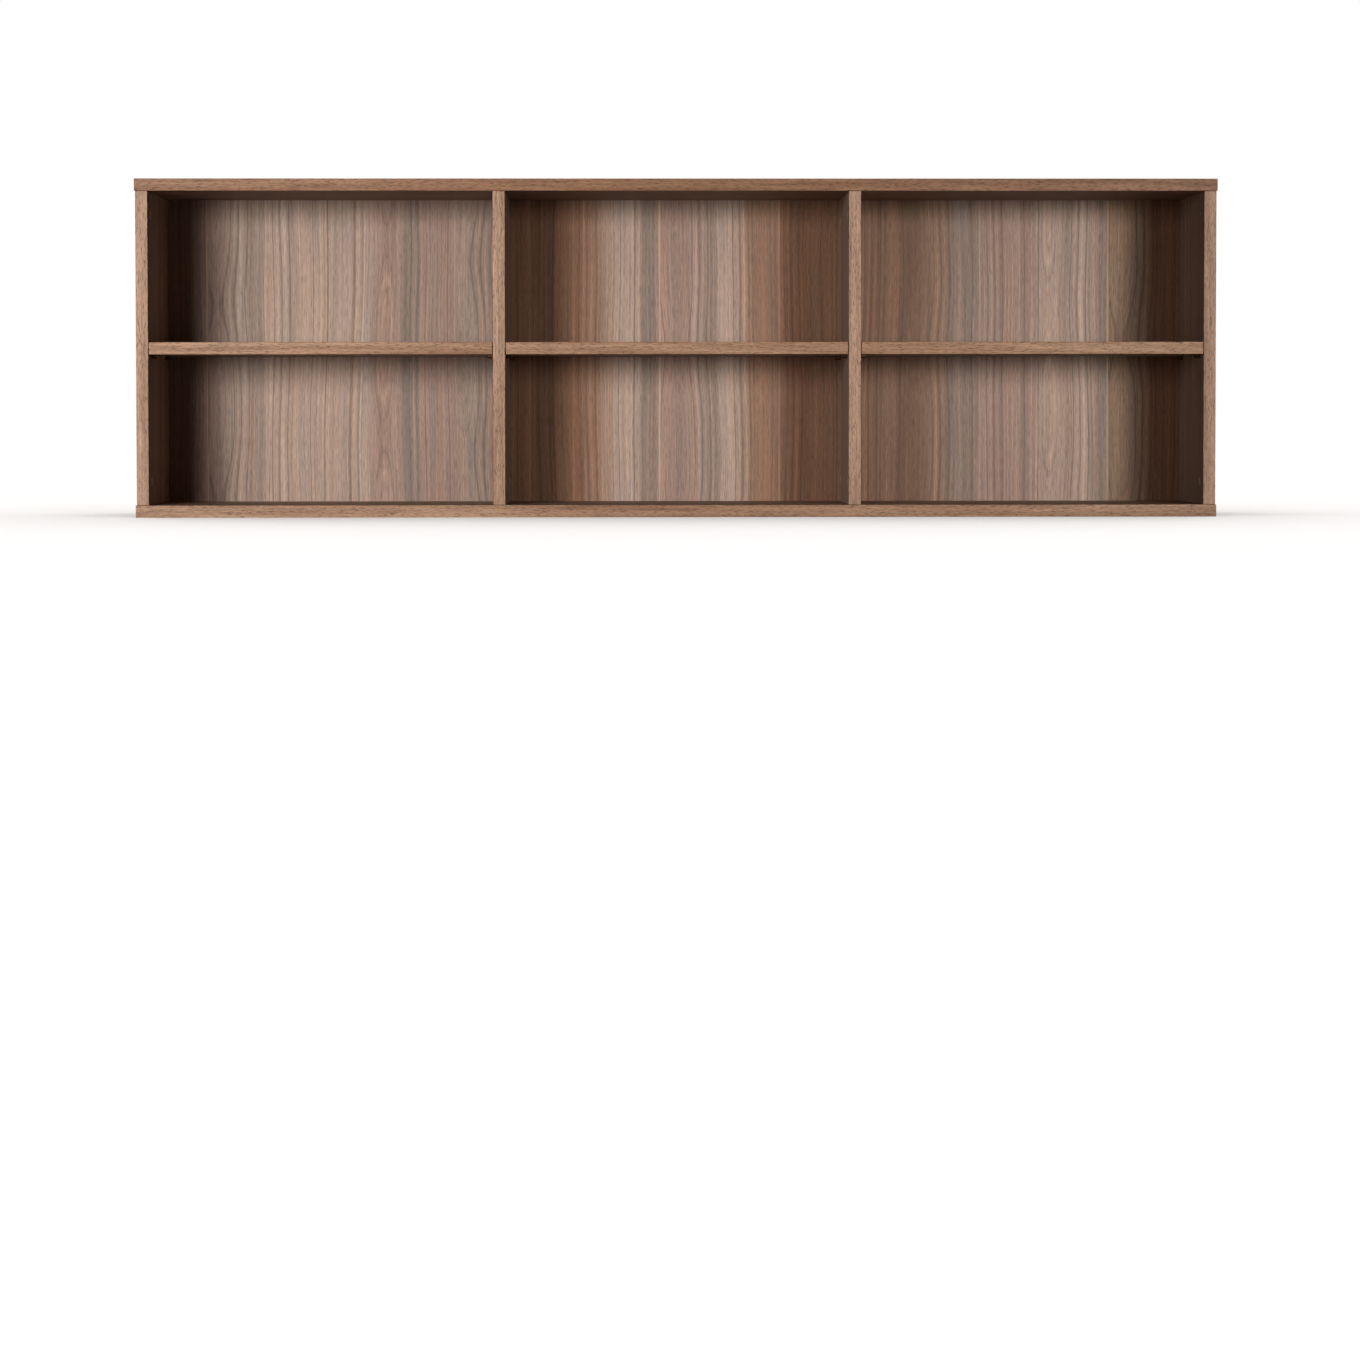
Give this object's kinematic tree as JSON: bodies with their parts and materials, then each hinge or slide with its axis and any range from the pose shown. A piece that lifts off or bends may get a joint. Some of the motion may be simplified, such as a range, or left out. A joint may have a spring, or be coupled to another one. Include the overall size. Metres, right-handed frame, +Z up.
{
  "type": "desk hutch",
  "caption": "Open desktop hutch of walnut-finish board: rows of open compartments with loose shelves on pins, boards joined by cam locks and closed behind by a thin back sheet.",
  "frame": {"origin": "middle of the footprint, on the surface that the hutch stands on", "axes": "+X along the width, -Y out of the open front, +Z up"},
  "size_m": [1.6, 0.25, 0.5],
  "materials": {
    "case_board": "walnut-print melamine, satin, with matching edge bands",
    "shelf_board": "walnut-print melamine, satin, with matching edge bands",
    "back_sheet": "walnut-print hardboard, matt",
    "cam": "die-cast zinc, satin",
    "cam_bolt": "zinc plated",
    "shelf_pin": "nickel plated"
  },
  "bodies": {
    "case": {"top_panel": "case_board", "bottom_panel": "case_board", "left_side": "case_board", "left_partition": "case_board", "right_partition": "case_board", "right_side": "case_board", "back_panel": "back_sheet", "left_side_top_front_cam": "cam", "left_side_top_rear_cam": "cam", "left_side_bottom_front_cam": "cam", "left_side_bottom_rear_cam": "cam", "left_partition_top_front_cam": "cam", "left_partition_top_rear_cam": "cam", "left_partition_bottom_front_cam": "cam", "left_partition_bottom_rear_cam": "cam", "right_partition_top_front_cam": "cam", "right_partition_top_rear_cam": "cam", "right_partition_bottom_front_cam": "cam", "right_partition_bottom_rear_cam": "cam", "right_side_top_front_cam": "cam", "right_side_top_rear_cam": "cam", "right_side_bottom_front_cam": "cam", "right_side_bottom_rear_cam": "cam", "left_side_top_front_bolt": "cam_bolt", "left_side_top_rear_bolt": "cam_bolt", "left_side_bottom_front_bolt": "cam_bolt", "left_side_bottom_rear_bolt": "cam_bolt", "left_partition_top_front_bolt": "cam_bolt", "left_partition_top_rear_bolt": "cam_bolt", "left_partition_bottom_front_bolt": "cam_bolt", "left_partition_bottom_rear_bolt": "cam_bolt", "right_partition_top_front_bolt": "cam_bolt", "right_partition_top_rear_bolt": "cam_bolt", "right_partition_bottom_front_bolt": "cam_bolt", "right_partition_bottom_rear_bolt": "cam_bolt", "right_side_top_front_bolt": "cam_bolt", "right_side_top_rear_bolt": "cam_bolt", "right_side_bottom_front_bolt": "cam_bolt", "right_side_bottom_rear_bolt": "cam_bolt", "left_side_right_front_pin": "shelf_pin", "left_side_right_rear_pin": "shelf_pin", "left_partition_right_front_pin": "shelf_pin", "left_partition_right_rear_pin": "shelf_pin", "left_partition_left_front_pin": "shelf_pin", "left_partition_left_rear_pin": "shelf_pin", "right_partition_right_front_pin": "shelf_pin", "right_partition_right_rear_pin": "shelf_pin", "right_partition_left_front_pin": "shelf_pin", "right_partition_left_rear_pin": "shelf_pin", "right_side_left_front_pin": "shelf_pin", "right_side_left_rear_pin": "shelf_pin"},
    "left_shelf": {"left_shelf": "shelf_board"},
    "middle_shelf": {"middle_shelf": "shelf_board"},
    "right_shelf": {"right_shelf": "shelf_board"}
  },
  "joints": [
    {"name": "left_shelf_slide", "type": "slide", "parent": "case", "child": "left_shelf", "axis": [0, -1, 0], "range_m": [0, 0.24]},
    {"name": "middle_shelf_slide", "type": "slide", "parent": "case", "child": "middle_shelf", "axis": [0, -1, 0], "range_m": [0, 0.24]},
    {"name": "right_shelf_slide", "type": "slide", "parent": "case", "child": "right_shelf", "axis": [0, -1, 0], "range_m": [0, 0.24]}
  ]
}
